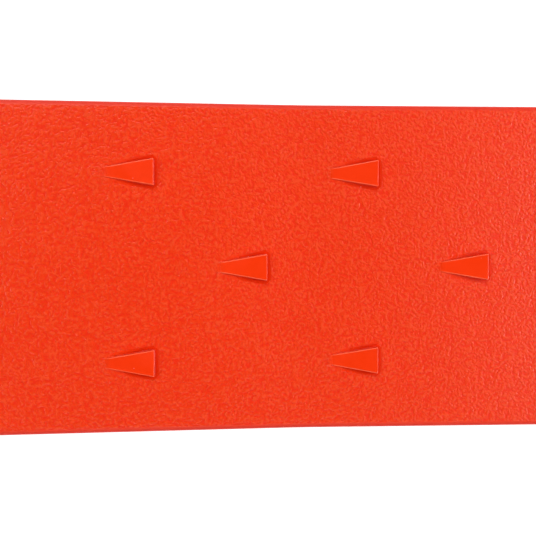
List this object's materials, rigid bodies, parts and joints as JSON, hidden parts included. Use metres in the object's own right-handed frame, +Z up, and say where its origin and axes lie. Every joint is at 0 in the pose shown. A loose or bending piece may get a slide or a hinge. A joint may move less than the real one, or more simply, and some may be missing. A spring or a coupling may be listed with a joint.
{
  "type": "felling wedge",
  "caption": "Long orange-red plastic felling wedge with a shallow then a steeper taper, a grained face and rows of small barbs on both faces that grip in a saw cut.",
  "frame": {"origin": "on the resting surface, in the middle of the rectangle that the wedge covers, under the crests of its lower barbs", "axes": "+X from the tip to the head that is struck, +Y across the width, +Z up, from the flat lower face to the tapered upper face"},
  "size_m": [0.254, 0.066, 0.031],
  "materials": {
    "grained_plastic": "satin, with a fine spark-eroded grain",
    "smooth_plastic": "smooth, semi-gloss"
  },
  "bodies": {
    "root": {"lower_barb_1_left": "smooth_plastic", "lower_barb_1_right": "smooth_plastic", "lower_barb_2_middle": "smooth_plastic", "lower_barb_3_left": "smooth_plastic", "lower_barb_3_right": "smooth_plastic", "lower_barb_4_middle": "smooth_plastic", "lower_barb_5_left": "smooth_plastic", "lower_barb_5_right": "smooth_plastic", "lower_barb_6_middle": "smooth_plastic", "lower_barb_7_left": "smooth_plastic", "lower_barb_7_right": "smooth_plastic", "upper_barb_1_left": "smooth_plastic", "upper_barb_1_right": "smooth_plastic", "upper_barb_2_middle": "smooth_plastic", "upper_barb_3_left": "smooth_plastic", "upper_barb_3_right": "smooth_plastic", "upper_barb_4_middle": "smooth_plastic", "upper_barb_5_left": "smooth_plastic", "upper_barb_5_right": "smooth_plastic", "upper_barb_6_middle": "smooth_plastic", "upper_barb_7_left": "smooth_plastic", "upper_barb_7_right": "smooth_plastic", "wedge_body": "grained_plastic"}
  },
  "joints": []
}
